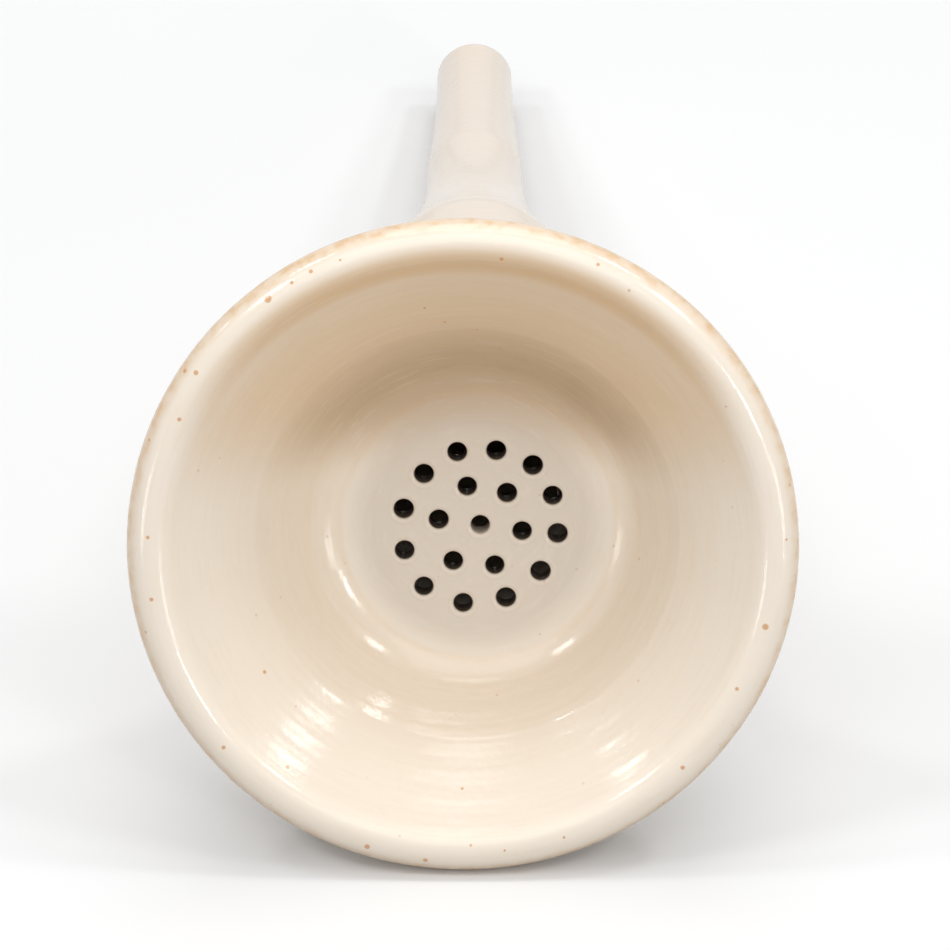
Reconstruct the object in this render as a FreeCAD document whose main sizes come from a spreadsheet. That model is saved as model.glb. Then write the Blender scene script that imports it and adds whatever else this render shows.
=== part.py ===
import FreeCAD, Part
import math
import os

import Sketcher

# Hirsch funnel in glazed porcelain, one piece: a flared cup with a rounded lip, a fixed filter plate
# pierced by rings of small holes, a hollow neck under the plate and a long tapered stem.
# The body is built standing on its stem, with the top of the filter plate at height zero.
# It is then laid on its side, as it comes to rest: on the lip and on the end of the stem.

SIZES = {
    # Cup, from the filter plate up to the lip.
    "rim_radius": 30.0,
    "cup_depth": 13.0,
    "lip_width": 4.3,
    "lip_round": 2.2,
    "lip_flat": 0.1,
    "waist_radius": 19.0,
    "waist_height": 6.0,
    "plate_radius": 13.4,
    "cove_round": 5.0,
    # The filter plate and its holes sit a little off the middle of the rim, as the piece was thrown, and the
    # neck and stem follow them part of the way. So the funnel lies without rolling.
    "plate_shift": 1.4,
    "plate_drop": 1.2,
    "stem_shift": 1.2,
    "plate_thickness": 3.0,
    "hole_radius": 0.85,
    "hole_round": 0.35,
    "drill_overrun": 0.6,
    "inner_ring_radius": 3.8,
    "outer_ring_radius": 7.0,
    "inner_ring_holes": 6,
    "outer_ring_holes": 12,
    "hole_turn": -9.9,
    # Under the plate the bowl closes to the bend, where the stem starts to lean.
    "bend_depth": 8.0,
    "bowl_foot_radius": 8.4,
    "chamber_radius": 10.2,
    "chamber_foot_radius": 8.0,
    "chamber_depth": 3.6,
    "stem_lean": 7.5,
    # Neck, shoulder, collar and stem, measured along the leaning axis from the bend.
    "neck_rise": 6.0,
    "neck_radius": 10.4,
    "neck_end_radius": 9.1,
    "neck_length": 53.0,
    "neck_blend": 14.0,
    "neck_bore_rise": 2.5,
    "neck_bore_radius": 7.4,
    "neck_bore_end_radius": 6.0,
    "neck_bore_length": 50.0,
    "shoulder_length": 28.0,
    "shoulder_round": 12.0,
    "collar_radius": 4.8,
    "collar_length": 2.0,
    "stem_length": 112.4,
    "tip_radius": 3.85,
    "tip_round": 0.6,
    "bore_radius": 2.3,
    "bore_round": 0.4,
}

doc = FreeCAD.newDocument("HirschFunnel")


def write_sizes():
    sheet = doc.addObject("Spreadsheet::Sheet", "Sizes")
    for row, (name, value) in enumerate(SIZES.items(), start=1):
        sheet.set(f"A{row}", name)
        sheet.set(f"B{row}", str(value))
        sheet.setAlias(f"B{row}", name)
    doc.recompute()
    return sheet


def size(name):
    return float(getattr(sizes, name))


def origin_plane(body, role):
    for feature in body.Origin.OriginFeatures:
        if feature.Role == role:
            return feature
    raise ValueError(f"{body.Label} has no plane {role}")


def new_sketch(body, name, role):
    sketch = body.newObject("Sketcher::SketchObject", name)
    sketch.AttachmentSupport = [(origin_plane(body, role), "")]
    sketch.MapMode = "FlatFace"
    return sketch


def worked_out(sketch, expression):
    return float(sketch.evalExpression(expression))


def hold(sketch, kind, expression, *where):
    # Adds a constraint whose value follows an expression.
    index = sketch.addConstraint(Sketcher.Constraint(kind, *where, worked_out(sketch, expression)))
    sketch.setExpression(f"Constraints[{index}]", expression)


def pin(sketch, curve, end, across, up):
    # Holds one point of a curve by its distances from the sketch's own origin.
    hold(sketch, "DistanceX", across, -1, 1, curve, end)
    hold(sketch, "DistanceY", up, -1, 1, curve, end)


def place_of(sketch, corner):
    across, up = corner
    return FreeCAD.Vector(worked_out(sketch, across), worked_out(sketch, up), 0)


def draw_outline(sketch, corners, arc_centres):
    # Closed outline through the corners in turn. A stretch named in arc_centres by the number of its first
    # corner is an arc about that centre, and every other stretch is straight.
    places = [place_of(sketch, corner) for corner in corners]
    ends = []
    for number, (start, end) in enumerate(zip(places, places[1:] + places[:1])):
        if number in arc_centres:
            ends.append(draw_arc(sketch, start, end, place_of(sketch, arc_centres[number])))
        else:
            ends.append((sketch.addGeometry(Part.LineSegment(start, end), False), 1, 2))
    for number, (curve, first, last) in enumerate(ends):
        next_curve, next_first, _ = ends[(number + 1) % len(ends)]
        sketch.addConstraint(Sketcher.Constraint("Coincident", curve, last, next_curve, next_first))
        pin(sketch, curve, first, *corners[number])
        if number in arc_centres:
            across, up = corners[number]
            centre_across, centre_up = arc_centres[number]
            reach = f"sqrt(({across} - ({centre_across}))^2 + ({up} - ({centre_up}))^2)"
            hold(sketch, "Radius", reach, curve)


def draw_arc(sketch, start, end, centre):
    # An arc runs anticlockwise in a sketch, so its ends are swapped where the outline turns the other way.
    from_start = start - centre
    from_end = end - centre
    start_angle = math.atan2(from_start.y, from_start.x)
    end_angle = math.atan2(from_end.y, from_end.x)
    circle = Part.Circle(centre, FreeCAD.Vector(0, 0, 1), from_start.Length)
    if from_start.cross(from_end).z > 0:
        return sketch.addGeometry(Part.ArcOfCircle(circle, start_angle, end_angle), False), 1, 2
    return sketch.addGeometry(Part.ArcOfCircle(circle, end_angle, start_angle), False), 2, 1


def draw_circle(sketch, radius, across, up):
    middle = place_of(sketch, (across, up))
    ring = Part.Circle(middle, FreeCAD.Vector(0, 0, 1), worked_out(sketch, radius))
    circle = sketch.addGeometry(ring, False)
    pin(sketch, circle, 3, across, up)
    hold(sketch, "Radius", radius, circle)


def turn_profile(body, name, kind, sketch):
    # A full turn about the sketch's own upright axis, added as a Revolution or cut as a Groove.
    feature = body.newObject(f"PartDesign::{kind}", name)
    feature.Profile = sketch
    feature.ReferenceAxis = (sketch, ["V_Axis"])
    feature.Angle = 360
    doc.recompute()


def turn_sketch(sketch, angle):
    # Turns a sketch in its own plane. It gets a small turn first, so that the angle has an axis to follow.
    sketch.AttachmentOffset = FreeCAD.Placement(FreeCAD.Vector(), FreeCAD.Rotation(FreeCAD.Vector(0, 0, 1), 1))
    sketch.setExpression("AttachmentOffset.Rotation.Angle", angle)


def lean_sketch(body, name):
    # Sketch in the middle plane whose upright axis is the leaning axis of the neck and stem.
    sketch = new_sketch(body, name, "YZ_Plane")
    turn_sketch(sketch, "Sizes.stem_lean")
    sketch.setExpression("AttachmentOffset.Base.y", "-Sizes.bend_depth")
    sketch.setExpression("AttachmentOffset.Base.z", "Sizes.stem_shift")
    doc.recompute()
    return sketch


def round_edges(body, name, radius, belongs):
    # Rounds each edge of the solid that the given test picks out.
    base = body.Tip
    picked = [f"Edge{number}" for number, edge in enumerate(base.Shape.Edges, start=1) if belongs(edge)]
    if not picked:
        raise ValueError(f"{name} finds no edge")
    fillet = body.newObject("PartDesign::Fillet", name)
    fillet.Base = (base, picked)
    fillet.setExpression("Radius", radius)
    doc.recompute()


def is_circle(edge, radius):
    return isinstance(edge.Curve, Part.Circle) and abs(edge.Curve.Radius - radius) < 1e-4


def along_stem(point):
    # Distance of a point from the bend, measured down the leaning axis.
    lean = math.radians(size("stem_lean"))
    return point.y * math.sin(lean) - (point.z + size("bend_depth")) * math.cos(lean)


def build_outside(body):
    # Bowl: a cone from the foot up to the lip, whose bead is tangent to the cone.
    run = "(Sizes.rim_radius - Sizes.lip_round - Sizes.bowl_foot_radius)"
    rise = "(Sizes.cup_depth - Sizes.lip_round + Sizes.bend_depth)"
    slope = f"(atan2({rise}; {run}) - asin(Sizes.lip_round / sqrt({run}^2 + {rise}^2)))"
    bead_across = "Sizes.rim_radius - Sizes.lip_round"
    bead_up = "Sizes.cup_depth - Sizes.lip_round"
    bowl = new_sketch(body, "bowl_outline", "XZ_Plane")
    corners = [
        ("0", "-Sizes.bend_depth"),
        ("Sizes.bowl_foot_radius", "-Sizes.bend_depth"),
        (f"{bead_across} + Sizes.lip_round * sin({slope})", f"{bead_up} - Sizes.lip_round * cos({slope})"),
        (bead_across, "Sizes.cup_depth"),
        ("0", "Sizes.cup_depth"),
    ]
    draw_outline(bowl, corners, {2: (bead_across, bead_up)})
    turn_profile(body, "bowl_wall", "Revolution", bowl)

    # Neck, concave shoulder, collar and a stem whose taper dies out at the tip.
    shoulder_end = "Sizes.neck_length + Sizes.shoulder_length"
    collar_end = f"{shoulder_end} + Sizes.collar_length"
    shoulder_drop = "(Sizes.neck_end_radius - Sizes.collar_radius)"
    shoulder_arc = f"({shoulder_drop}^2 + Sizes.shoulder_length^2) / (2 * {shoulder_drop})"
    taper_drop = "(Sizes.collar_radius - Sizes.tip_radius)"
    taper_run = f"(Sizes.stem_length - ({collar_end}))"
    taper_arc = f"({taper_drop}^2 + {taper_run}^2) / (2 * {taper_drop})"
    stem = lean_sketch(body, "stem_outline")
    corners = [
        ("0", "Sizes.neck_rise"),
        ("Sizes.neck_radius", "Sizes.neck_rise"),
        ("Sizes.neck_end_radius", "-Sizes.neck_length"),
        ("Sizes.collar_radius", f"-({shoulder_end})"),
        ("Sizes.collar_radius", f"-({collar_end})"),
        ("Sizes.tip_radius", "-Sizes.stem_length"),
        ("0", "-Sizes.stem_length"),
    ]
    centres = {
        2: (f"Sizes.collar_radius + {shoulder_arc}", f"-({shoulder_end})"),
        4: (f"Sizes.tip_radius + {taper_arc}", "-Sizes.stem_length"),
    }
    draw_outline(stem, corners, centres)
    turn_profile(body, "stem_wall", "Revolution", stem)

    # The bowl sweeps into the neck, and the neck's foot rolls over into the shoulder.
    def at_neck_top(edge):
        near_bend = abs(along_stem(edge.CenterOfMass)) < size("bend_depth") / 2
        return near_bend and not isinstance(edge.Curve, (Part.Circle, Part.Line))

    def at_neck_end(edge):
        return is_circle(edge, size("neck_end_radius"))

    round_edges(body, "bowl_sweep", "Sizes.neck_blend", at_neck_top)
    round_edges(body, "shoulder_roll", "Sizes.shoulder_round", at_neck_end)


def build_cup(body):
    # The cup flares from the plate to the mouth. Its rings drift sideways with the plate, most near it.
    rings = [
        ("cup_mouth", "Sizes.rim_radius - Sizes.lip_width", "Sizes.cup_depth"),
        ("cup_waist", "Sizes.waist_radius", "Sizes.waist_height"),
        ("cup_floor", "Sizes.plate_radius", "0"),
    ]
    sketches = []
    for name, radius, height in rings:
        sketch = new_sketch(body, name, "XY_Plane")
        sketch.setExpression("AttachmentOffset.Base.z", height)
        drift = f"(1 - ({height}) / Sizes.cup_depth)^2"
        draw_circle(sketch, radius, f"Sizes.plate_shift * {drift}", f"-Sizes.plate_drop * {drift}")
        sketches.append(sketch)
    doc.recompute()
    cup = body.newObject("PartDesign::SubtractiveLoft", "cup")
    cup.Profile = sketches[0]
    cup.Sections = sketches[1:]
    doc.recompute()


def build_chamber(body):
    # Under the plate the chamber narrows towards the bend.
    chamber = new_sketch(body, "chamber_outline", "XZ_Plane")
    roof = "-Sizes.plate_thickness"
    foot = "-(Sizes.plate_thickness + Sizes.chamber_depth)"
    corners = [
        ("0", roof),
        ("Sizes.chamber_radius", roof),
        ("Sizes.chamber_foot_radius", foot),
        ("0", foot),
    ]
    chamber.setExpression("AttachmentOffset.Base.x", "Sizes.stem_shift")
    draw_outline(chamber, corners, {})
    turn_profile(body, "chamber", "Groove", chamber)

    # The hollow of the neck follows its wall, then draws in to the straight bore of the stem.
    hollow = lean_sketch(body, "bore_outline")
    throat_end = "-(Sizes.neck_length + Sizes.shoulder_length)"
    corners = [
        ("0", "Sizes.neck_bore_rise"),
        ("Sizes.neck_bore_radius", "Sizes.neck_bore_rise"),
        ("Sizes.neck_bore_end_radius", "-Sizes.neck_bore_length"),
        ("Sizes.bore_radius", throat_end),
        ("Sizes.bore_radius", "-Sizes.stem_length"),
        ("0", "-Sizes.stem_length"),
    ]
    draw_outline(hollow, corners, {})
    turn_profile(body, "bore", "Groove", hollow)


def drill_hole(body, name, distance):
    # One straight hole through the plate, at a distance from the middle of the pattern.
    sketch = new_sketch(body, f"{name}_place", "XY_Plane")
    turn_sketch(sketch, "Sizes.hole_turn")
    sketch.setExpression("AttachmentOffset.Base.x", "Sizes.plate_shift")
    sketch.setExpression("AttachmentOffset.Base.y", "-Sizes.plate_drop")
    doc.recompute()
    draw_circle(sketch, "Sizes.hole_radius", distance, "0")
    hole = body.newObject("PartDesign::Pocket", name)
    hole.Profile = sketch
    hole.Reversed = False
    hole.setExpression("Length", "Sizes.plate_thickness + Sizes.drill_overrun")
    doc.recompute()
    return hole, sketch


def drill_ring(body, name, distance, count):
    hole, sketch = drill_hole(body, f"{name}_hole", distance)
    ring = body.newObject("PartDesign::PolarPattern", name)
    ring.Originals = [hole]
    ring.Axis = (sketch, ["N_Axis"])
    ring.Angle = 360
    ring.setExpression("Occurrences", count)
    body.Tip = ring
    doc.recompute()


def build_plate(body):
    whole = body.Shape.Volume
    drill_hole(body, "middle_hole", "0")
    drill_ring(body, "inner_ring", "Sizes.inner_ring_radius", "Sizes.inner_ring_holes")
    drill_ring(body, "outer_ring", "Sizes.outer_ring_radius", "Sizes.outer_ring_holes")
    count = 1 + int(size("inner_ring_holes")) + int(size("outer_ring_holes"))
    bored = count * math.pi * size("hole_radius") ** 2 * size("plate_thickness")
    removed = whole - body.Shape.Volume
    if abs(removed - bored) > 0.01 * bored:
        raise ValueError(f"the holes remove {removed:.2f} in place of {bored:.2f}")


def round_glazed_edges(body):
    # The glaze leaves every edge soft: the cove, the mouth, the rims of the holes and the tip.
    def on_plate(edge):
        return is_circle(edge, size("hole_radius")) and abs(edge.CenterOfMass.z) < 1e-4

    def at_tip(edge, radius):
        return is_circle(edge, radius) and abs(along_stem(edge.CenterOfMass) - size("stem_length")) < 1e-3

    def at_height(edge, radius, height):
        return abs(edge.Length - 2 * math.pi * radius) < 0.01 and abs(edge.CenterOfMass.z - height) < 0.01

    round_edges(body, "hole_edges", "Sizes.hole_round", on_plate)
    round_edges(body, "cove", "Sizes.cove_round", lambda edge: at_height(edge, size("plate_radius"), 0.0))
    mouth = size("rim_radius") - size("lip_width")
    depth = size("cup_depth")
    # The rounding inside the mouth takes the width of the lip that the bead leaves.
    inner_round = "Sizes.lip_width - Sizes.lip_round - Sizes.lip_flat"
    round_edges(body, "mouth_edge", inner_round, lambda edge: at_height(edge, mouth, depth))
    round_edges(body, "tip_edge", "Sizes.tip_round", lambda edge: at_tip(edge, size("tip_radius")))
    round_edges(body, "bore_edge", "Sizes.bore_round", lambda edge: at_tip(edge, size("bore_radius")))


def rest_tilt():
    # The funnel lies on the bead of the lip and on the rounded end of the stem. A line tangent to both
    # circles, seen from the side, is the ground, and the cup's axis rises from it by this angle.
    lean = math.radians(size("stem_lean"))
    bead = (-(size("rim_radius") - size("lip_round")), size("cup_depth") - size("lip_round"))
    reach = size("stem_length") - size("tip_round")
    inset = size("tip_radius") - size("tip_round")
    tip_across = reach * math.sin(lean) - inset * math.cos(lean)
    tip_up = -size("bend_depth") - reach * math.cos(lean) - inset * math.sin(lean)
    across = bead[0] - tip_across
    up = bead[1] - tip_up
    difference = size("lip_round") - size("tip_round")
    return math.degrees(math.atan2(up, across) - math.acos(difference / math.hypot(across, up)))


def lay_down(body):
    # The mouth faces the front, and the middle of the footprint stands at the origin.
    turn = FreeCAD.Rotation(FreeCAD.Vector(1, 0, 0), 90 - rest_tilt())
    body.Placement = FreeCAD.Placement(FreeCAD.Vector(), turn)
    doc.recompute()
    box = body.Shape.optimalBoundingBox()
    middle = FreeCAD.Vector((box.XMin + box.XMax) / 2, (box.YMin + box.YMax) / 2, box.ZMin)
    body.Placement = FreeCAD.Placement(-middle, turn)
    doc.recompute()


sizes = write_sizes()
funnel = doc.addObject("PartDesign::Body", "funnel")
funnel.Label = "funnel"
build_outside(funnel)
build_cup(funnel)
build_chamber(funnel)
build_plate(funnel)
round_glazed_edges(funnel)
lay_down(funnel)

for item in doc.Objects:
    if "Invalid" in item.State or "Error" in item.State:
        raise RuntimeError(f"{item.Label} failed: {item.State}")
shape = funnel.Shape
if shape.isNull() or not shape.isValid() or len(shape.Solids) != 1:
    raise RuntimeError("funnel is not one valid solid")

os.makedirs("parts", exist_ok=True)
shape.exportStep(f"parts/{funnel.Label}.step")
box = shape.optimalBoundingBox()
print(f"rest tilt {rest_tilt():.3f} degrees, volume {shape.Volume:.1f} cubic mm")
print(f"box {box.XMin:.3f} {box.XMax:.3f} {box.YMin:.3f} {box.YMax:.3f} {box.ZMin:.3f} {box.ZMax:.3f}")
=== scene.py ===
import math
import random

import bpy
from mathutils import Matrix, Vector


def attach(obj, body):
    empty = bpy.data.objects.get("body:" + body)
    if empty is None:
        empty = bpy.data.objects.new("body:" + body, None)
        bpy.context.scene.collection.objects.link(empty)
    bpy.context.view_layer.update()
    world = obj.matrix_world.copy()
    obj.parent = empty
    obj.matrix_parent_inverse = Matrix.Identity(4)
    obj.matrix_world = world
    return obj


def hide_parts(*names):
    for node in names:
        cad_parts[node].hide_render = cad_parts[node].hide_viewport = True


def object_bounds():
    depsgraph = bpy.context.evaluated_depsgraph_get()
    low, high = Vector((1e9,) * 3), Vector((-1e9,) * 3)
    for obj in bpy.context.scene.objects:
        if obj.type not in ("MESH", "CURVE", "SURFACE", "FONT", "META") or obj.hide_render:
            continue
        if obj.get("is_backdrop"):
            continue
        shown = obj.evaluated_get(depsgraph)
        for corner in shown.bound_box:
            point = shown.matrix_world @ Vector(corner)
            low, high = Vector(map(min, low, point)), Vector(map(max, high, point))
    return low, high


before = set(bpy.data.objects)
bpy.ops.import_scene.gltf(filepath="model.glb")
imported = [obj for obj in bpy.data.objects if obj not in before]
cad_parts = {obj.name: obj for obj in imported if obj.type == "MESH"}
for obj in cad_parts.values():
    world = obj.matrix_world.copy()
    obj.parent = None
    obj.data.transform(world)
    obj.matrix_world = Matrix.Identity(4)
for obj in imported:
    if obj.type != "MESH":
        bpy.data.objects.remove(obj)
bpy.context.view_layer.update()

# Bowl of the funnel: the inside of the cup, the rounded lip and the outside down to the neck.
# It is glazed porcelain, thrown and fired in one piece with all the rest, so faint rings run round it.
# It is drawn standing, with the top of the filter plate at height zero, and laid down at the end.
MM = 0.001
TURN_STEPS = 160

RIM_RADIUS = 30.0
CUP_DEPTH = 13.0
LIP_WIDTH = 4.3
LIP_ROUND = 2.2
MOUTH_ROUND = 2.0
WAIST_RADIUS = 19.0
WAIST_HEIGHT = 6.0
PLATE_RADIUS = 13.4
COVE_ROUND = 5.0
PLATE_SHIFT = 1.4
PLATE_DROP = 0.9
BEND_DEPTH = 8.0
FOOT_RADIUS = 8.4
WALL_STEP = 0.25
CONE_STEP = 0.4
DRIFT_REACH = 20.0
MOUTH_CLEARANCE = 0.02
# The rings that the fingers left: how high they stand and how far apart, and where they start in a turn.
CUP_RINGS = (0.008, 2.6, 0.6)
CONE_RINGS = (0.008, 3.1, 0.0)


def arc(centre, radius, start, end, count):
    # Points on an arc, from one angle to another, without its first point.
    points = []
    for number in range(1, count + 1):
        angle = math.radians(start + (end - start) * number / count)
        points.append((centre[0] + radius * math.cos(angle), centre[1] + radius * math.sin(angle)))
    return points


def straight(start, end, step):
    # Points along a straight stretch, without its first point.
    length = math.dist(start, end)
    count = max(1, round(length / step))
    points = []
    for number in range(1, count + 1):
        share = number / count
        points.append((start[0] + (end[0] - start[0]) * share, start[1] + (end[1] - start[1]) * share))
    return points


def thrown(points, height, spacing, phase):
    # Pushes the points of a wall in and out across its run, in one long wave and a finer one.
    moved = [points[0]]
    run = 0.0
    for before, here, after in zip(points, points[1:], points[2:]):
        run += math.dist(before, here)
        along = (after[0] - before[0], after[1] - before[1])
        length = math.hypot(*along)
        wave = math.sin(run / spacing * math.tau + phase) + 0.5 * math.sin(run / spacing * 2.7 * math.tau)
        push = height * wave / length
        moved.append((here[0] - along[1] * push, here[1] + along[0] * push))
    moved.append(points[-1])
    return moved


def spin_section(name, points, groups, steps):
    # Draws half a section by extruding one point from the last, and spins it round the upright axis.
    bpy.ops.object.select_all(action="DESELECT")
    bpy.ops.mesh.primitive_plane_add(size=MM)
    piece = bpy.context.object
    piece.name = name
    bpy.ops.object.mode_set(mode="EDIT")
    bpy.ops.mesh.select_all(action="SELECT")
    bpy.ops.mesh.merge(type="CENTER")
    start = points[0]
    bpy.ops.transform.translate(value=(start[0] * MM, 0, start[1] * MM))
    for before, here in zip(points, points[1:]):
        step = ((here[0] - before[0]) * MM, 0, (here[1] - before[1]) * MM)
        bpy.ops.mesh.extrude_region_move(TRANSFORM_OT_translate={"value": step})
    bpy.ops.object.mode_set(mode="OBJECT")
    for group, index in groups.items():
        piece.vertex_groups.new(name=group).add([index % len(points)], 1.0, "REPLACE")
    bpy.ops.object.mode_set(mode="EDIT")
    bpy.ops.mesh.select_all(action="SELECT")
    bpy.ops.mesh.spin(steps=steps, angle=math.tau, center=(0, 0, 0), axis=(0, 0, 1))
    bpy.ops.mesh.select_all(action="SELECT")
    bpy.ops.mesh.remove_doubles(threshold=0.001 * MM)
    bpy.ops.object.mode_set(mode="OBJECT")
    return piece


def select_group(piece, *groups):
    # Leaves the piece in edit mode with only the named rings selected.
    bpy.ops.object.select_all(action="DESELECT")
    piece.select_set(True)
    bpy.context.view_layer.objects.active = piece
    bpy.ops.object.mode_set(mode="EDIT")
    bpy.ops.mesh.select_mode(type="VERT")
    bpy.ops.mesh.select_all(action="DESELECT")
    for group in groups:
        piece.vertex_groups.active = piece.vertex_groups[group]
        bpy.ops.object.vertex_group_select()


# The wall of the cup rises at nearly one slope from the plate to the mouth. A cove joins it to the plate.
wall_slope = math.degrees(math.atan2(WAIST_HEIGHT, WAIST_RADIUS - PLATE_RADIUS))
cove_reach = COVE_ROUND * math.tan(math.radians(wall_slope / 2))
cove_start = (PLATE_RADIUS - cove_reach, 0.0)
cove_centre = (cove_start[0], COVE_ROUND)
cove = arc(cove_centre, COVE_ROUND, -90, -90 + wall_slope, 18)

mouth_radius = RIM_RADIUS - LIP_WIDTH
mouth_centre = (mouth_radius + MOUTH_ROUND + MOUTH_CLEARANCE, CUP_DEPTH - MOUTH_ROUND)
upper_slope = math.degrees(math.atan2(CUP_DEPTH - WAIST_HEIGHT, mouth_radius - WAIST_RADIUS))
mouth_start = 90 + upper_slope
wall_end = (
    mouth_centre[0] + MOUTH_ROUND * math.cos(math.radians(mouth_start)),
    mouth_centre[1] + MOUTH_ROUND * math.sin(math.radians(mouth_start)),
)
waist = (WAIST_RADIUS, WAIST_HEIGHT)
wall = [cove[-1]] + straight(cove[-1], waist, WALL_STEP) + straight(waist, wall_end, WALL_STEP)
wall = thrown(wall, *CUP_RINGS)
mouth = arc(mouth_centre, MOUTH_ROUND, mouth_start, 90, 14)

# The bead of the lip turns over to the outside, where a cone runs down to the foot of the bowl.
bead_centre = (RIM_RADIUS - LIP_ROUND, CUP_DEPTH - LIP_ROUND)
cone_run = bead_centre[0] - FOOT_RADIUS
cone_rise = bead_centre[1] + BEND_DEPTH
cone_lift = math.asin(LIP_ROUND / math.hypot(cone_run, cone_rise))
cone_slope = math.degrees(math.atan2(cone_rise, cone_run) - cone_lift)
bead = arc(bead_centre, LIP_ROUND, 90, cone_slope - 90, 26)
SWEEP_START_RADIUS = 15.4
sweep_start = (
    SWEEP_START_RADIUS,
    (SWEEP_START_RADIUS - FOOT_RADIUS) * math.tan(math.radians(cone_slope)) - BEND_DEPTH,
)
cone = thrown([bead[-1]] + straight(bead[-1], sweep_start, CONE_STEP), *CONE_RINGS)

section = [cove_start] + cove + wall[1:] + mouth[:-1] + [(bead_centre[0], CUP_DEPTH)] + bead[:-1] + cone
bowl = spin_section("funnel_bowl", section, {"plate_edge": 0, "bowl_foot": -1}, TURN_STEPS)

# The plate sits a little to one side of the rim and below its middle, and the wall drifts over to it.
select_group(bowl, "plate_edge")
bpy.ops.transform.translate(
    value=(PLATE_SHIFT * MM, -PLATE_DROP * MM, 0),
    use_proportional_edit=True,
    proportional_edit_falloff="SHARP",
    proportional_size=DRIFT_REACH * MM,
    use_proportional_connected=True,
)
bpy.ops.object.mode_set(mode="OBJECT")

# Neck, shoulder, collar and stem, with the hollow inside them. They are thrown in one with the bowl and
# lean a little to one side of its axis.
STEM_LEAN = 7.5
STEM_SHIFT = 1.2
SWEEP_END = 5.5
NECK_RISE = 6.0
NECK_RADIUS = 10.4
NECK_END_RADIUS = 9.1
NECK_LENGTH = 53.0
SHOULDER_LENGTH = 28.0
SHOULDER_ROUND = 12.0
COLLAR_RADIUS = 4.8
COLLAR_LENGTH = 2.0
STEM_LENGTH = 112.4
TIP_RADIUS = 3.85
TIP_ROUND = 0.6
BORE_RADIUS = 2.3
BORE_ROUND = 0.4
HOLLOW_RISE = 2.5
HOLLOW_RADIUS = 7.4
HOLLOW_END_RADIUS = 6.0
HOLLOW_LENGTH = 50.0
STEM_STEP = 0.6
SHOULDER_STEP = 0.45
NECK_RINGS = (0.008, 3.7, 1.0)
# The roll ends before it has turned all the way into the slope of the shoulder.
ROLL_SHARE = 0.82


def swept(start, end, bulge_radius, centre_height, step):
    # Points on a shallow arc round a centre far outside the stem.
    centre = (min(start[0], end[0]) + bulge_radius, centre_height)
    points = []
    count = round(abs(end[1] - start[1]) / step)
    for number in range(1, count + 1):
        height = start[1] + (end[1] - start[1]) * number / count
        points.append((centre[0] - math.sqrt(bulge_radius**2 - (height - centre_height) ** 2), height))
    return points


neck_taper = (NECK_RADIUS - NECK_END_RADIUS) / (NECK_RISE + NECK_LENGTH)
neck_top = (NECK_RADIUS - neck_taper * (NECK_RISE + SWEEP_END), -SWEEP_END)
shoulder_end = NECK_LENGTH + SHOULDER_LENGTH
collar_end = shoulder_end + COLLAR_LENGTH
shoulder_drop = NECK_END_RADIUS - COLLAR_RADIUS
shoulder_arc = (shoulder_drop**2 + SHOULDER_LENGTH**2) / (2 * shoulder_drop)
taper_drop = COLLAR_RADIUS - TIP_RADIUS
taper_run = STEM_LENGTH - collar_end
taper_arc = (taper_drop**2 + taper_run**2) / (2 * taper_drop)

# Where the neck rolls over into the shoulder.
shoulder_slope = math.degrees(math.asin(SHOULDER_LENGTH / shoulder_arc))
roll = SHOULDER_ROUND * math.tan(math.radians(shoulder_slope / 2))
roll_start = (NECK_END_RADIUS + neck_taper * roll, -(NECK_LENGTH - roll))
roll_centre = (roll_start[0] - SHOULDER_ROUND, roll_start[1])
shoulder_roll = arc(roll_centre, SHOULDER_ROUND, 0, -shoulder_slope * ROLL_SHARE, 10)
collar_top = (COLLAR_RADIUS, -shoulder_end)
collar_foot = (COLLAR_RADIUS, -collar_end)
shoulder = swept(shoulder_roll[-1], collar_top, shoulder_arc, -shoulder_end, SHOULDER_STEP)
collar = straight(collar_top, collar_foot, STEM_STEP)
tip_centre = (TIP_RADIUS - TIP_ROUND, -(STEM_LENGTH - TIP_ROUND))
taper = swept(collar_foot, (TIP_RADIUS, tip_centre[1]), taper_arc, -STEM_LENGTH, STEM_STEP)
tip = arc(tip_centre, TIP_ROUND, 0, -90, 6)
bore_edge_centre = (BORE_RADIUS + BORE_ROUND, -(STEM_LENGTH - BORE_ROUND))
bore_edge = [(bore_edge_centre[0], -STEM_LENGTH)] + arc(bore_edge_centre, BORE_ROUND, 270, 180, 5)
throat_end = (BORE_RADIUS, -shoulder_end)
hollow_end = (HOLLOW_END_RADIUS, -HOLLOW_LENGTH)
neck = thrown([neck_top] + straight(neck_top, roll_start, STEM_STEP), *NECK_RINGS)
section = neck + shoulder_roll + shoulder + collar + taper + tip + bore_edge
section += straight(bore_edge[-1], throat_end, 2.5) + straight(throat_end, hollow_end, 1.5)
section += straight(hollow_end, (HOLLOW_RADIUS, HOLLOW_RISE), 3.0)
stem = spin_section("funnel_stem", section, {"neck_top": 0, "hollow_top": -1}, TURN_STEPS)

select_group(stem)
bpy.ops.mesh.select_all(action="SELECT")
bpy.ops.transform.translate(value=(STEM_SHIFT * MM, 0, -BEND_DEPTH * MM))
bpy.ops.transform.rotate(
    value=-math.radians(STEM_LEAN),
    orient_axis="X",
    center_override=(0, 0, -BEND_DEPTH * MM),
)
bpy.ops.object.mode_set(mode="OBJECT")

# Chamber under the plate, where the filtered liquid gathers on its way to the neck. It is a hollow in the
# same piece of porcelain, hidden from outside, with plain walls.
PLATE_THICKNESS = 3.0
CHAMBER_RADIUS = 10.2
CHAMBER_FOOT_RADIUS = 8.0
CHAMBER_DEPTH = 3.6

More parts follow.
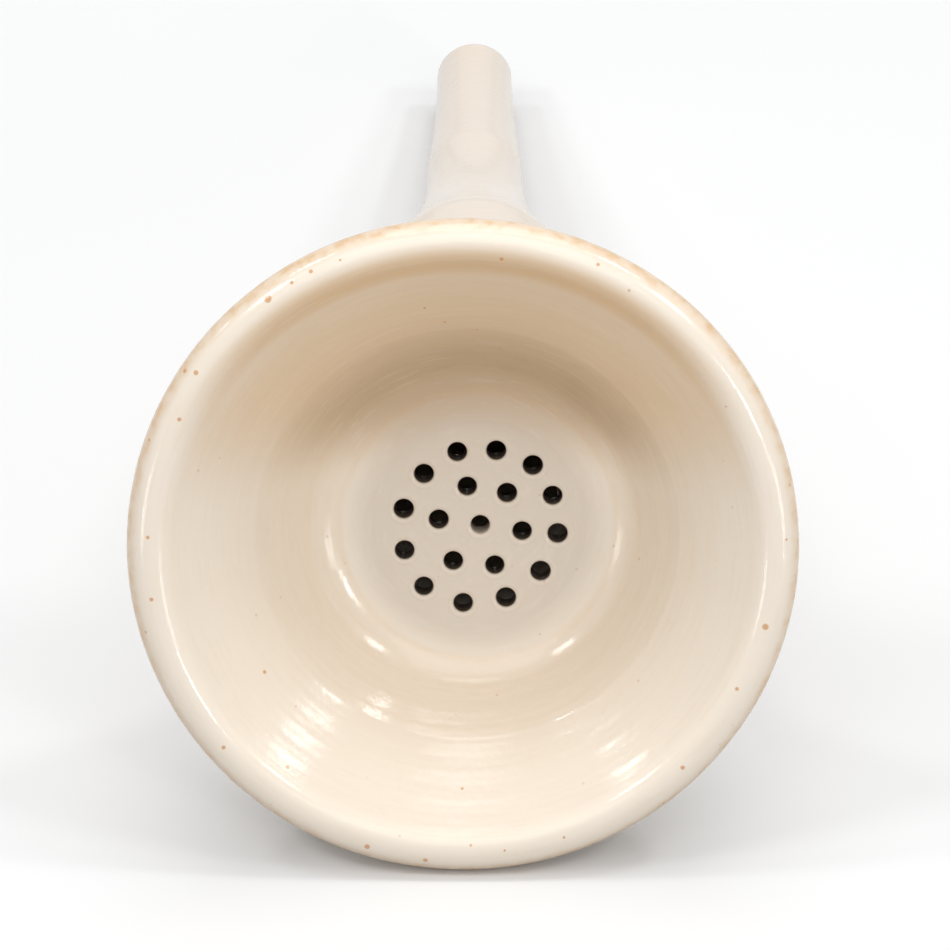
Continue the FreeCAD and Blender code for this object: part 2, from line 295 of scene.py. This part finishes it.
chamber_roof = (CHAMBER_RADIUS, -PLATE_THICKNESS)
chamber_foot = (CHAMBER_FOOT_RADIUS, -PLATE_THICKNESS - CHAMBER_DEPTH)
section = [chamber_roof] + straight(chamber_roof, chamber_foot, 0.7)
chamber = spin_section("funnel_chamber", section, {"plate_under": 0, "chamber_foot": -1}, TURN_STEPS)
select_group(chamber)
bpy.ops.mesh.select_all(action="SELECT")
bpy.ops.transform.translate(value=(STEM_SHIFT * MM, 0, 0))
bpy.ops.object.mode_set(mode="OBJECT")

# Holes of the filter plate: one in the middle, six round it and twelve round those. They were drilled by
# hand in the soft clay, so each stands a little out of line, and the glaze has rounded and swollen its rim.
HOLE_STEPS = 28
HOLE_RADIUS = 0.85
HOLE_RIM = 1.48
HOLE_UNDER_RIM = 1.25
HOLE_EDGE = 0.3
HOLE_SWELL = 0.032
# How far in the low collar of glaze reaches round the rim, and how far it has fallen again there.
COLLAR_SHARE = 0.52
COLLAR_FALL = 0.86
HOLE_TURN = -9.9
HOLES_ACROSS = 1.55
# How far each hole slipped to the right and up from its regular place, in millimetres.
MIDDLE_SLIPS = ((0.0, 0.0),)
INNER_SLIPS = ((0.02, 0.07), (-0.03, 0.04), (0.13, 0.0), (0.0, -0.16), (0.0, -0.45), (0.0, -0.19))
OUTER_SLIPS = (
    (0.07, 0.4), (-0.06, 0.3), (0.24, 0.15), (0.23, 0.0), (0.33, 0.2), (0.3, 0.25),
    (0.0, 0.28), (-0.25, 0.04), (-0.6, -0.38), (-0.35, -0.4), (-0.1, -0.22), (0.06, 0.17),
)
HOLE_RINGS = ((0.0, MIDDLE_SLIPS), (3.8, INNER_SLIPS), (7.0, OUTER_SLIPS))
HAND_SEED = 7
NARROWEST = 0.97
WIDEST = 1.03

hole_section = [(HOLE_RIM, 0.0)]
for share in (0.04, 0.1, 0.17, 0.24, 0.32, 0.42, COLLAR_SHARE):
    swell = HOLE_SWELL * math.sin(math.pi * share / COLLAR_SHARE * COLLAR_FALL) ** 2
    hole_section.append((HOLE_RIM - (HOLE_RIM - HOLE_RADIUS) * share, swell))
edge = hole_section[-1]
drop = HOLE_RIM - HOLE_RADIUS - (HOLE_RIM - edge[0])
hole_section += arc((edge[0], edge[1] - drop), drop, 90, 180, 6)
hole_foot = (HOLE_RADIUS, -PLATE_THICKNESS + HOLE_EDGE)
hole_section += straight(hole_section[-1], hole_foot, 0.6)
hole_section += arc((HOLE_RADIUS + HOLE_EDGE, hole_foot[1]), HOLE_EDGE, 180, 270, 4)
hole_section += [(HOLE_UNDER_RIM, -PLATE_THICKNESS)]

first_hole = spin_section("hole", hole_section, {"hole_top": 0, "hole_under": -1}, HOLE_STEPS)
holes = []
hand = random.Random(HAND_SEED)
for ring_radius, slips in HOLE_RINGS:
    for number, (slip_right, slip_up) in enumerate(slips):
        angle = math.radians(HOLE_TURN + 360 * number / len(slips))
        hole_across = HOLES_ACROSS + ring_radius * math.cos(angle) + slip_right
        hole_along = -PLATE_DROP + ring_radius * math.sin(angle) + slip_up
        hole = first_hole.copy()
        hole.data = first_hole.data.copy()
        bpy.context.scene.collection.objects.link(hole)
        select_group(hole)
        bpy.ops.mesh.select_all(action="SELECT")
        width = hand.uniform(NARROWEST, WIDEST)
        bpy.ops.transform.resize(value=(width, width, 1), center_override=(0, 0, 0))
        bpy.ops.transform.translate(value=(hole_across * MM, hole_along * MM, 0))
        bpy.ops.object.mode_set(mode="OBJECT")
        holes.append(hole)
bpy.data.objects.remove(first_hole)

# All of it is one shell. The parts are joined, the sweep of the bowl into the neck and the wall of the
# chamber are bridged, and the plate is filled in round its holes, above and below.
SWEEP_CUTS = 22
CHAMBER_CUTS = 2
bpy.ops.object.select_all(action="DESELECT")
for part in (stem, chamber, *holes, bowl):
    part.select_set(True)
bpy.context.view_layer.objects.active = bowl
bpy.ops.object.join()
funnel = bowl
funnel.name = "funnel_glazed"
funnel.data.name = "funnel_glazed"

select_group(funnel, "bowl_foot", "neck_top")
bpy.ops.mesh.bridge_edge_loops(number_cuts=SWEEP_CUTS, interpolation="SURFACE", smoothness=1.0)
bpy.ops.object.mode_set(mode="OBJECT")
select_group(funnel, "chamber_foot", "hollow_top")
bpy.ops.mesh.bridge_edge_loops(number_cuts=CHAMBER_CUTS, interpolation="LINEAR")
bpy.ops.object.mode_set(mode="OBJECT")
select_group(funnel, "plate_edge", "hole_top")
bpy.ops.mesh.fill()
bpy.ops.object.mode_set(mode="OBJECT")
select_group(funnel, "plate_under", "hole_under")
bpy.ops.mesh.fill()
bpy.ops.mesh.select_all(action="SELECT")
bpy.ops.mesh.normals_make_consistent(inside=False)
bpy.ops.object.mode_set(mode="OBJECT")

# It is laid on its side, on the bead of the lip and on the end of the stem.
lean = math.radians(STEM_LEAN)
tip_reach = STEM_LENGTH - TIP_ROUND
tip_inset = TIP_RADIUS - TIP_ROUND
tip_across = tip_reach * math.sin(lean) - tip_inset * math.cos(lean)
tip_up = -BEND_DEPTH - tip_reach * math.cos(lean) - tip_inset * math.sin(lean)
rest_across = -bead_centre[0] - tip_across
rest_up = bead_centre[1] - tip_up
rest_lift = math.acos((LIP_ROUND - TIP_ROUND) / math.hypot(rest_across, rest_up))
rest_tilt = math.atan2(rest_up, rest_across) - rest_lift
laying = Matrix.Rotation(math.pi / 2 - rest_tilt, 4, "X")

funnel.rotation_euler = laying.to_euler()
bpy.ops.object.transform_apply(location=False, rotation=True, scale=False)
corners = [vertex.co for vertex in funnel.data.vertices]
low = [min(corner[axis] for corner in corners) for axis in range(3)]
high = [max(corner[axis] for corner in corners) for axis in range(3)]
rest_place = Vector((0, -(low[1] + high[1]) / 2, -low[2]))
funnel.location = rest_place
bpy.ops.object.transform_apply(location=True, rotation=False, scale=False)

# No wall thrown by hand is quite true, so the whole surface sinks in here and there by a hair.
WOBBLE_DEPTH = 0.11
WOBBLE_SIZE = 16.0
unevenness = bpy.data.textures.new("unevenness", "CLOUDS")
unevenness.noise_scale = WOBBLE_SIZE * MM
unevenness.noise_depth = 1
wobble = funnel.modifiers.new("wobble", "DISPLACE")
wobble.texture = unevenness
wobble.texture_coords = "LOCAL"
wobble.strength = WOBBLE_DEPTH * MM
wobble.mid_level = 1.0
bpy.ops.object.modifier_apply(modifier="wobble")
bpy.ops.object.shade_smooth()


# Glaze: a cream gloss over white porcelain, thin and tan on the outer edge of the lip, greyer on the plate,
# with brown specks from the kiln and faint streaks that follow the throwing. Shade is painted on as well:
# tan deep in the cup and on its upper wall, cove and lip, and dark in the holes.
class Shade:
    """A socket of a node tree. A sum or product of sockets and numbers adds its Math nodes."""

    def __init__(self, tree, socket):
        self.tree = tree
        self.socket = socket

    def combine(self, operation, first, second):
        settings = {"operation": operation}
        return node(self.tree, "ShaderNodeMath", settings, {0: first, 1: second})

    def __add__(self, other):
        return self.combine("ADD", self, other)

    def __radd__(self, other):
        return self.combine("ADD", other, self)

    def __sub__(self, other):
        return self.combine("SUBTRACT", self, other)

    def __rsub__(self, other):
        return self.combine("SUBTRACT", other, self)

    def __mul__(self, other):
        return self.combine("MULTIPLY", self, other)

    def __rmul__(self, other):
        return self.combine("MULTIPLY", other, self)

    def __truediv__(self, other):
        return self.combine("DIVIDE", self, other)

    def __rtruediv__(self, other):
        return self.combine("DIVIDE", other, self)

    def __pow__(self, other):
        return self.combine("POWER", self, other)


def node(tree, kind, settings, values, output=0):
    # Adds one node: its settings first, then the numbers or sockets that feed it.
    made = tree.nodes.new(kind)
    for name, value in settings.items():
        setattr(made, name, value)
    for name, value in values.items():
        if isinstance(value, Shade):
            tree.links.new(value.socket, made.inputs[name])
        else:
            made.inputs[name].default_value = value
    return Shade(tree, made.outputs[output])


def between(tree, value, low, high):
    # 0 below the first value, 1 above the second, and smooth between them.
    settings = {"interpolation_type": "SMOOTHSTEP"}
    return node(tree, "ShaderNodeMapRange", settings, {"Value": value, "From Min": low, "From Max": high})


def tinted(tree, amount, colour, other):
    # A mix of two colours.
    settings = {"data_type": "RGBA"}
    return node(tree, "ShaderNodeMix", settings, {0: amount, 6: colour, 7: other}, 2)


glaze = bpy.data.materials.new("glazed_porcelain")
glaze.use_nodes = True
tree = glaze.node_tree
principled = tree.nodes["Principled BSDF"]

# Places on the funnel as it stood when it was thrown, in millimetres from the top of the plate.
lying = node(tree, "ShaderNodeTexCoord", {}, {}, "Object")
upright = laying.inverted() @ (rest_place * -1.0)
standing = node(
    tree,
    "ShaderNodeMapping",
    {},
    {
        "Vector": lying,
        "Location": tuple(part / MM for part in upright),
        "Rotation": (-(math.pi / 2 - rest_tilt), 0, 0),
        "Scale": (1 / MM, 1 / MM, 1 / MM),
    },
)
across = node(tree, "ShaderNodeSeparateXYZ", {}, {"Vector": standing}, "X")
along = node(tree, "ShaderNodeSeparateXYZ", {}, {"Vector": standing}, "Y")
height = node(tree, "ShaderNodeSeparateXYZ", {}, {"Vector": standing}, "Z")
radius = (across * across + along * along) ** 0.5

CREAM = (0.87, 0.775, 0.655, 1)
TAN = (0.72, 0.46, 0.22, 1)
STRAW = (0.72, 0.555, 0.375, 1)
PLATE_GREY = (0.65, 0.56, 0.465, 1)
# Colour of the painted shadow on the upper cove and the upper edge of the plate.
COVE_SHADOW_TAN = (0.50, 0.355, 0.22, 1)
STEM_GREY = (0.80, 0.70, 0.60, 1)
PALE = (0.94, 0.84, 0.72, 1)
SPECK = (0.62, 0.27, 0.06, 1)
# Colour of the painted shade on the walls of the holes.
BORE_SHADE_BROWN = (0.055, 0.034, 0.02, 1)

# Noise that is drawn out round the funnel, as fingers and brush went.
STREAKS_ROUND = 4.0
STREAKS_UP = 2.0
turned = node(
    tree,
    "ShaderNodeCombineXYZ",
    {},
    {
        "X": across / radius * STREAKS_ROUND,
        "Y": along / radius * STREAKS_ROUND,
        "Z": (radius + height) * STREAKS_UP,
    },
)
streaks = node(tree, "ShaderNodeTexNoise", {}, {"Vector": turned, "Scale": 1.0, "Detail": 2.0})
cloud = node(tree, "ShaderNodeTexNoise", {}, {"Vector": standing, "Scale": 0.09, "Detail": 3.0})
mottle = node(tree, "ShaderNodeTexNoise", {}, {"Vector": standing, "Scale": 0.8, "Detail": 3.0})

# Masks for the places where the glaze differs, and for the shade that is painted deep in the cup, on its
# upper wall, cove and lip, and in the holes. The two numbers of each step are where it starts and where it
# ends, in millimetres.
from_plate = ((across - PLATE_SHIFT) ** 2 + (along + PLATE_DROP) ** 2) ** 0.5
above = between(tree, height, -0.6, 0.2)
# A slope half way through the wall of the bowl parts its inside from its outside.
mid_wall = (radius + from_plate) * 0.515 - 15.6
within = between(tree, height - mid_wall, -0.6, 0.6)
plate_mask = (1 - between(tree, from_plate, 9.5, 12.8)) * above
pool_ring = between(tree, from_plate, 12.0, 12.5) * (1 - between(tree, from_plate, 12.5, 13.2)) * above
# Painted shade: the wall deep in the cup, just above the cove, is painted tan all round.
deep_painted_shade = between(tree, from_plate, 11.5, 14.0) * (1 - between(tree, height, 2.0, 11.0)) * above * within
inside_mask = (1 - between(tree, radius, 25.6, 27.0)) * above * within
lip_band = between(tree, radius, 25.6, 26.6) * between(tree, height, 9.0, 12.0)
# Painted shade: the inside of the lip at the top, which faces down, is painted tan.
upper_lip_painted_shade = between(tree, along, 8.0, 24.0) * between(tree, radius, 24.6, 26.0) * above
upper_lip_painted_shade = upper_lip_painted_shade * (1 - between(tree, radius, 26.8, 28.4)) * between(tree, height, 8.0, 11.0)
edge_mask = between(tree, radius, 28.9, 29.9) * between(tree, height, 7.0, 9.5)
underside = between(tree, radius, 14.0, 27.0) * (1 - between(tree, height, 7.5, 10.5)) * (1 - within)
stem_mask = 1 - between(tree, height, -30.0, -8.0)
# Painted shade: the inside wall on the upper side, which faces down, is painted tan, less near the lip.
upper_wall_painted_shade = between(tree, along, 2.0, 14.0) * inside_mask * (1 - 0.25 * between(tree, height, 7.0, 12.5))
# Painted shadow: the upper cove and the upper edge of the plate, under the upper wall, are painted dark
# tan.
upper_cove_painted_shadow = between(tree, along, 3.0, 11.0) * between(tree, from_plate, 8.0, 11.5)
upper_cove_painted_shadow = upper_cove_painted_shadow * (1 - between(tree, height, 2.0, 8.0)) * above * within
# Painted shade: the walls of the holes are painted dark brown, from just under the plate down.
bore_depth = (1 - between(tree, height, -0.5, 0.0)) * between(tree, height, -3.2, -2.9)
bore_painted_shade = bore_depth * (1 - between(tree, from_plate, 9.6, 10.0))
# The shade painted on the walls of the holes is lighter in the middle one, a painted light as if light came
# up to it from the neck.
from_middle_hole = ((across - HOLES_ACROSS) ** 2 + (along + PLATE_DROP) ** 2) ** 0.5
bore_painted_shade = bore_painted_shade * (0.35 + 0.65 * between(tree, from_middle_hole, 1.2, 1.8))

# The coats of colour, one over another: where each lies, how strong it is, and its colour.
mottled = between(tree, mottle, 0.35, 0.75)
coats = (
    (inside_mask, 0.08, STRAW),
    # Painted shade deep in the cup.
    (deep_painted_shade, 0.28, STRAW),
    # Painted shade on the upper inside wall.
    (upper_wall_painted_shade, 0.58, TAN),
    (plate_mask, 0.85, PLATE_GREY),
    # Painted shadow on the upper cove and plate edge.
    (upper_cove_painted_shadow, 0.75, COVE_SHADOW_TAN),
    (pool_ring, 0.14, TAN),
    # Painted shade in the holes.
    (bore_painted_shade, 0.93, BORE_SHADE_BROWN),
    (stem_mask, 0.85, STEM_GREY),
    (underside * (0.5 + cloud * 0.5), 0.6, STRAW),
    (lip_band * (1 - upper_lip_painted_shade), 0.45, PALE),
    # Painted shade on the upper inside of the lip.
    (upper_lip_painted_shade, 0.7, TAN),
    (edge_mask * (0.8 + mottled), 0.5, TAN),
    (between(tree, streaks, 0.52, 0.72), 0.07, TAN),
    (between(tree, 1 - streaks, 0.54, 0.74), 0.1, PALE),
)
colour = CREAM
for where, strength, coat in coats:
    colour = tinted(tree, where * strength, colour, coat)

# Specks: a scatter of small ones, and the larger ones where the kiln dropped them on the lip.
scatter = {"Vector": standing, "Scale": 0.42, "Randomness": 1.0}
spots = node(tree, "ShaderNodeTexVoronoi", {}, scatter, "Distance")
spot_pick = node(tree, "ShaderNodeTexNoise", {}, {"Vector": standing, "Scale": 0.8, "Detail": 0.0})
speck_mask = (1 - between(tree, spots, 0.03, 0.08)) * between(tree, spot_pick, 0.48, 0.56)
colour = tinted(tree, speck_mask * (0.35 + lip_band * 0.3), colour, SPECK)
# The larger specks: place across, along and up from the plate, and radius, in millimetres.
KILN_SPECKS = (
    (-17.2, 23.1, 12.7, 0.31), (-23.6, 16.4, 12.7, 0.22), (-15.1, 24.6, 12.7, 0.18),
    (-25.1, 12.2, 12.9, 0.18), (-13.4, 25.6, 12.7, 0.18), (-10.8, 26.6, 12.7, 0.13),
    (-21.4, -18.0, 12.9, 0.18), (-17.8, -12.3, 8.3, 0.18), (-15.7, -20.2, 11.7, 0.18),
    (-8.6, -27.3, 12.8, 0.22), (-3.4, -28.6, 12.7, 0.22), (-0.1, -22.9, 9.3, 0.13),
    (26.9, -6.9, 12.9, 0.31), (24.4, -12.6, 12.9, 0.18), (19.6, -19.9, 12.9, 0.18),
    (9.0, -26.4, 12.9, 0.13), (-28.0, 1.4, 13.0, 0.18), (-24.6, 16.4, 12.0, 0.22),
    (-3.4, 21.2, 8.2, 0.13), (-1.6, 19.5, 6.7, 0.13), (3.4, 26.7, 12.8, 0.18),
    (11.9, 26.2, 12.7, 0.18), (-27.7, -4.3, 12.9, 0.18), (28.7, 1.1, 12.7, 0.13),
    (3.7, -27.6, 13.0, 0.13), (-27.8, 10.1, 12.0, 0.13),
)
for speck_across, speck_along, speck_up, speck_radius in KILN_SPECKS:
    centre = (speck_across, speck_along, speck_up)
    away = node(tree, "ShaderNodeVectorMath", {"operation": "DISTANCE"}, {0: standing, 1: centre}, "Value")
    uneven = away + (mottle - 0.5) * speck_radius
    speck = 1 - between(tree, uneven, speck_radius * 0.7, speck_radius * 1.3)
    colour = tinted(tree, speck * 0.75, colour, SPECK)
tree.links.new(colour.socket, principled.inputs["Base Color"])

# A high gloss that clouds a little, with the slight orange peel of a poured glaze.
GLAZE_IOR = 1.5
GLOSS = 0.11
CLOUDED = 0.08
PEEL_STRENGTH = 0.14
PEEL_DEPTH = 0.0002
rough = GLOSS + cloud * CLOUDED
tree.links.new(rough.socket, principled.inputs["Roughness"])
principled.inputs["IOR"].default_value = GLAZE_IOR
orange_peel = node(tree, "ShaderNodeTexNoise", {}, {"Vector": standing, "Scale": 0.9, "Detail": 2.0})
skin = orange_peel * 0.85 + streaks * 0.08
peel = {"Strength": PEEL_STRENGTH, "Distance": PEEL_DEPTH, "Height": skin}
relief = node(tree, "ShaderNodeBump", {}, peel)
tree.links.new(relief.socket, principled.inputs["Normal"])
funnel.data.materials.clear()
funnel.data.materials.append(glaze)

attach(funnel, "root")
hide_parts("funnel")

# Floor: a round sheet of plain white paper that lies under the funnel and catches its shadow. It throws
# less light back up than it shows to the camera.
FLOOR_RADIUS = 1.6
PAPER_ROUGHNESS = 0.9
PAPER_WHITE = (0.879, 0.883, 0.888, 1)
PAPER_BOUNCE = (0.45, 0.45, 0.45, 1)
bpy.ops.object.select_all(action="DESELECT")
bpy.ops.mesh.primitive_circle_add(vertices=96, radius=FLOOR_RADIUS, fill_type="NGON")
floor = bpy.context.object
floor.name = "floor"
paper = bpy.data.materials.new("white_paper")
paper.use_nodes = True
paper_shader = paper.node_tree.nodes["Principled BSDF"]
paper_shader.inputs["Roughness"].default_value = PAPER_ROUGHNESS
paper_shader.inputs["Specular IOR Level"].default_value = 0.0
sheet = paper.node_tree
floor_camera = node(sheet, "ShaderNodeLightPath", {}, {}, "Is Camera Ray")
floor_glossy = node(sheet, "ShaderNodeLightPath", {}, {}, "Is Glossy Ray")
floor_through = node(sheet, "ShaderNodeLightPath", {}, {}, "Is Transmission Ray")
clamped = {"operation": "ADD", "use_clamp": True}
looked_at = node(sheet, "ShaderNodeMath", clamped, {0: floor_camera + floor_glossy, 1: floor_through})
paper_colour = tinted(sheet, looked_at, PAPER_BOUNCE, PAPER_WHITE)
sheet.links.new(paper_colour.socket, paper_shader.inputs["Base Color"])
floor.data.materials.append(paper)
floor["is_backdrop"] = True

# Studio light: a pale room all round, soft boxes and small lamps above and beside, a broad fill above the
# camera, and a pair of low windows on each side in front, which the glaze mirrors.
ROOM_LEVEL = 0.32
world = bpy.data.worlds.new("studio")
bpy.context.scene.world = world
world.use_nodes = True
sky = world.node_tree
sky.nodes.clear()
path_camera = node(sky, "ShaderNodeLightPath", {}, {}, "Is Camera Ray")
path_glossy = node(sky, "ShaderNodeLightPath", {}, {}, "Is Glossy Ray")
path_through = node(sky, "ShaderNodeLightPath", {}, {}, "Is Transmission Ray")
seen = node(sky, "ShaderNodeMath", clamped, {0: path_camera + path_glossy, 1: path_through})
level = ROOM_LEVEL + seen * (1 - ROOM_LEVEL)
room = node(sky, "ShaderNodeBackground", {}, {"Color": (1, 1, 1, 1), "Strength": level})
sky_output = sky.nodes.new("ShaderNodeOutputWorld")
sky.links.new(room.socket, sky_output.inputs["Surface"])

# Direction from the funnel, distance, width and height in metres, and power in watts.
SOFT_BOXES = {
    "right_box": ((0.64, -0.33, 0.69), 0.9, 0.18, 0.12, 0.8),
    "left_box": ((-0.60, -0.325, 0.73), 0.9, 0.20, 0.13, 0.95),
    "right_lamp": ((0.537, 0.04, 0.842), 0.9, 0.10, 0.10, 0.8),
    "left_lamp": ((-0.535, 0.04, 0.843), 0.9, 0.10, 0.10, 0.6),
    "left_low_lamp": ((-0.83, 0.03, 0.557), 0.9, 0.06, 0.06, 0.15),
    "right_front_lamp": ((0.513, -0.807, 0.292), 0.9, 0.10, 0.10, 0.8),
    "front_fill": ((0.0, -0.62, 0.785), 1.1, 1.0, 0.8, 3.1),
    "right_window_near": ((0.60, -0.79, 0.10), 0.9, 0.05, 0.16, 0.24),
    "right_window_far": ((0.69, -0.72, 0.10), 0.9, 0.05, 0.16, 0.24),
    "left_window_near": ((-0.60, -0.79, 0.10), 0.9, 0.05, 0.16, 0.24),
    "left_window_far": ((-0.69, -0.72, 0.10), 0.9, 0.05, 0.16, 0.24),
    "overhead": ((0.03, 0.22, 0.975), 0.9, 0.7, 0.7, 2.8),
}
for name, (direction, distance, width, tall, power) in SOFT_BOXES.items():
    bpy.ops.object.light_add(type="AREA", location=Vector(direction) * distance)
    soft_box = bpy.context.object
    soft_box.name = name
    soft_box.data.shape = "ELLIPSE" if name == "overhead" else "RECTANGLE"
    soft_box.data.size = width
    soft_box.data.size_y = tall
    soft_box.data.energy = power
    soft_box.rotation_euler = Vector(direction).to_track_quat("Z", "Y").to_euler()

# Camera: a long lens that looks down into the cup from in front. The rim stands a little left of the
# middle of the picture, and below it.
VIEW_DOWN = 15.0
CAMERA_DISTANCE = 0.84
LENS = 358.6
SENSOR_WIDTH = 36
RIM_LEFT = 1.06
RIM_BELOW = 6.9
elevation = rest_tilt + math.radians(VIEW_DOWN)
rim_middle = laying @ Vector((0, 0, CUP_DEPTH * MM)) + rest_place
towards_camera = Vector((0, -math.cos(elevation), math.sin(elevation)))
picture_up = Vector((0, math.sin(elevation), math.cos(elevation)))
aim = rim_middle + Vector((RIM_LEFT * MM, 0, 0)) + picture_up * RIM_BELOW * MM
stand = rim_middle + towards_camera * CAMERA_DISTANCE
bpy.ops.object.camera_add(location=stand)
camera = bpy.context.object
camera.name = "camera"
camera.rotation_euler = (stand - aim).to_track_quat("Z", "Y").to_euler()
camera.data.lens = LENS
camera.data.sensor_width = SENSOR_WIDTH
camera.data.clip_start = 0.05
camera.data.clip_end = 20
bpy.context.scene.camera = camera
bpy.context.scene.view_settings.view_transform = "Standard"

low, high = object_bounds()
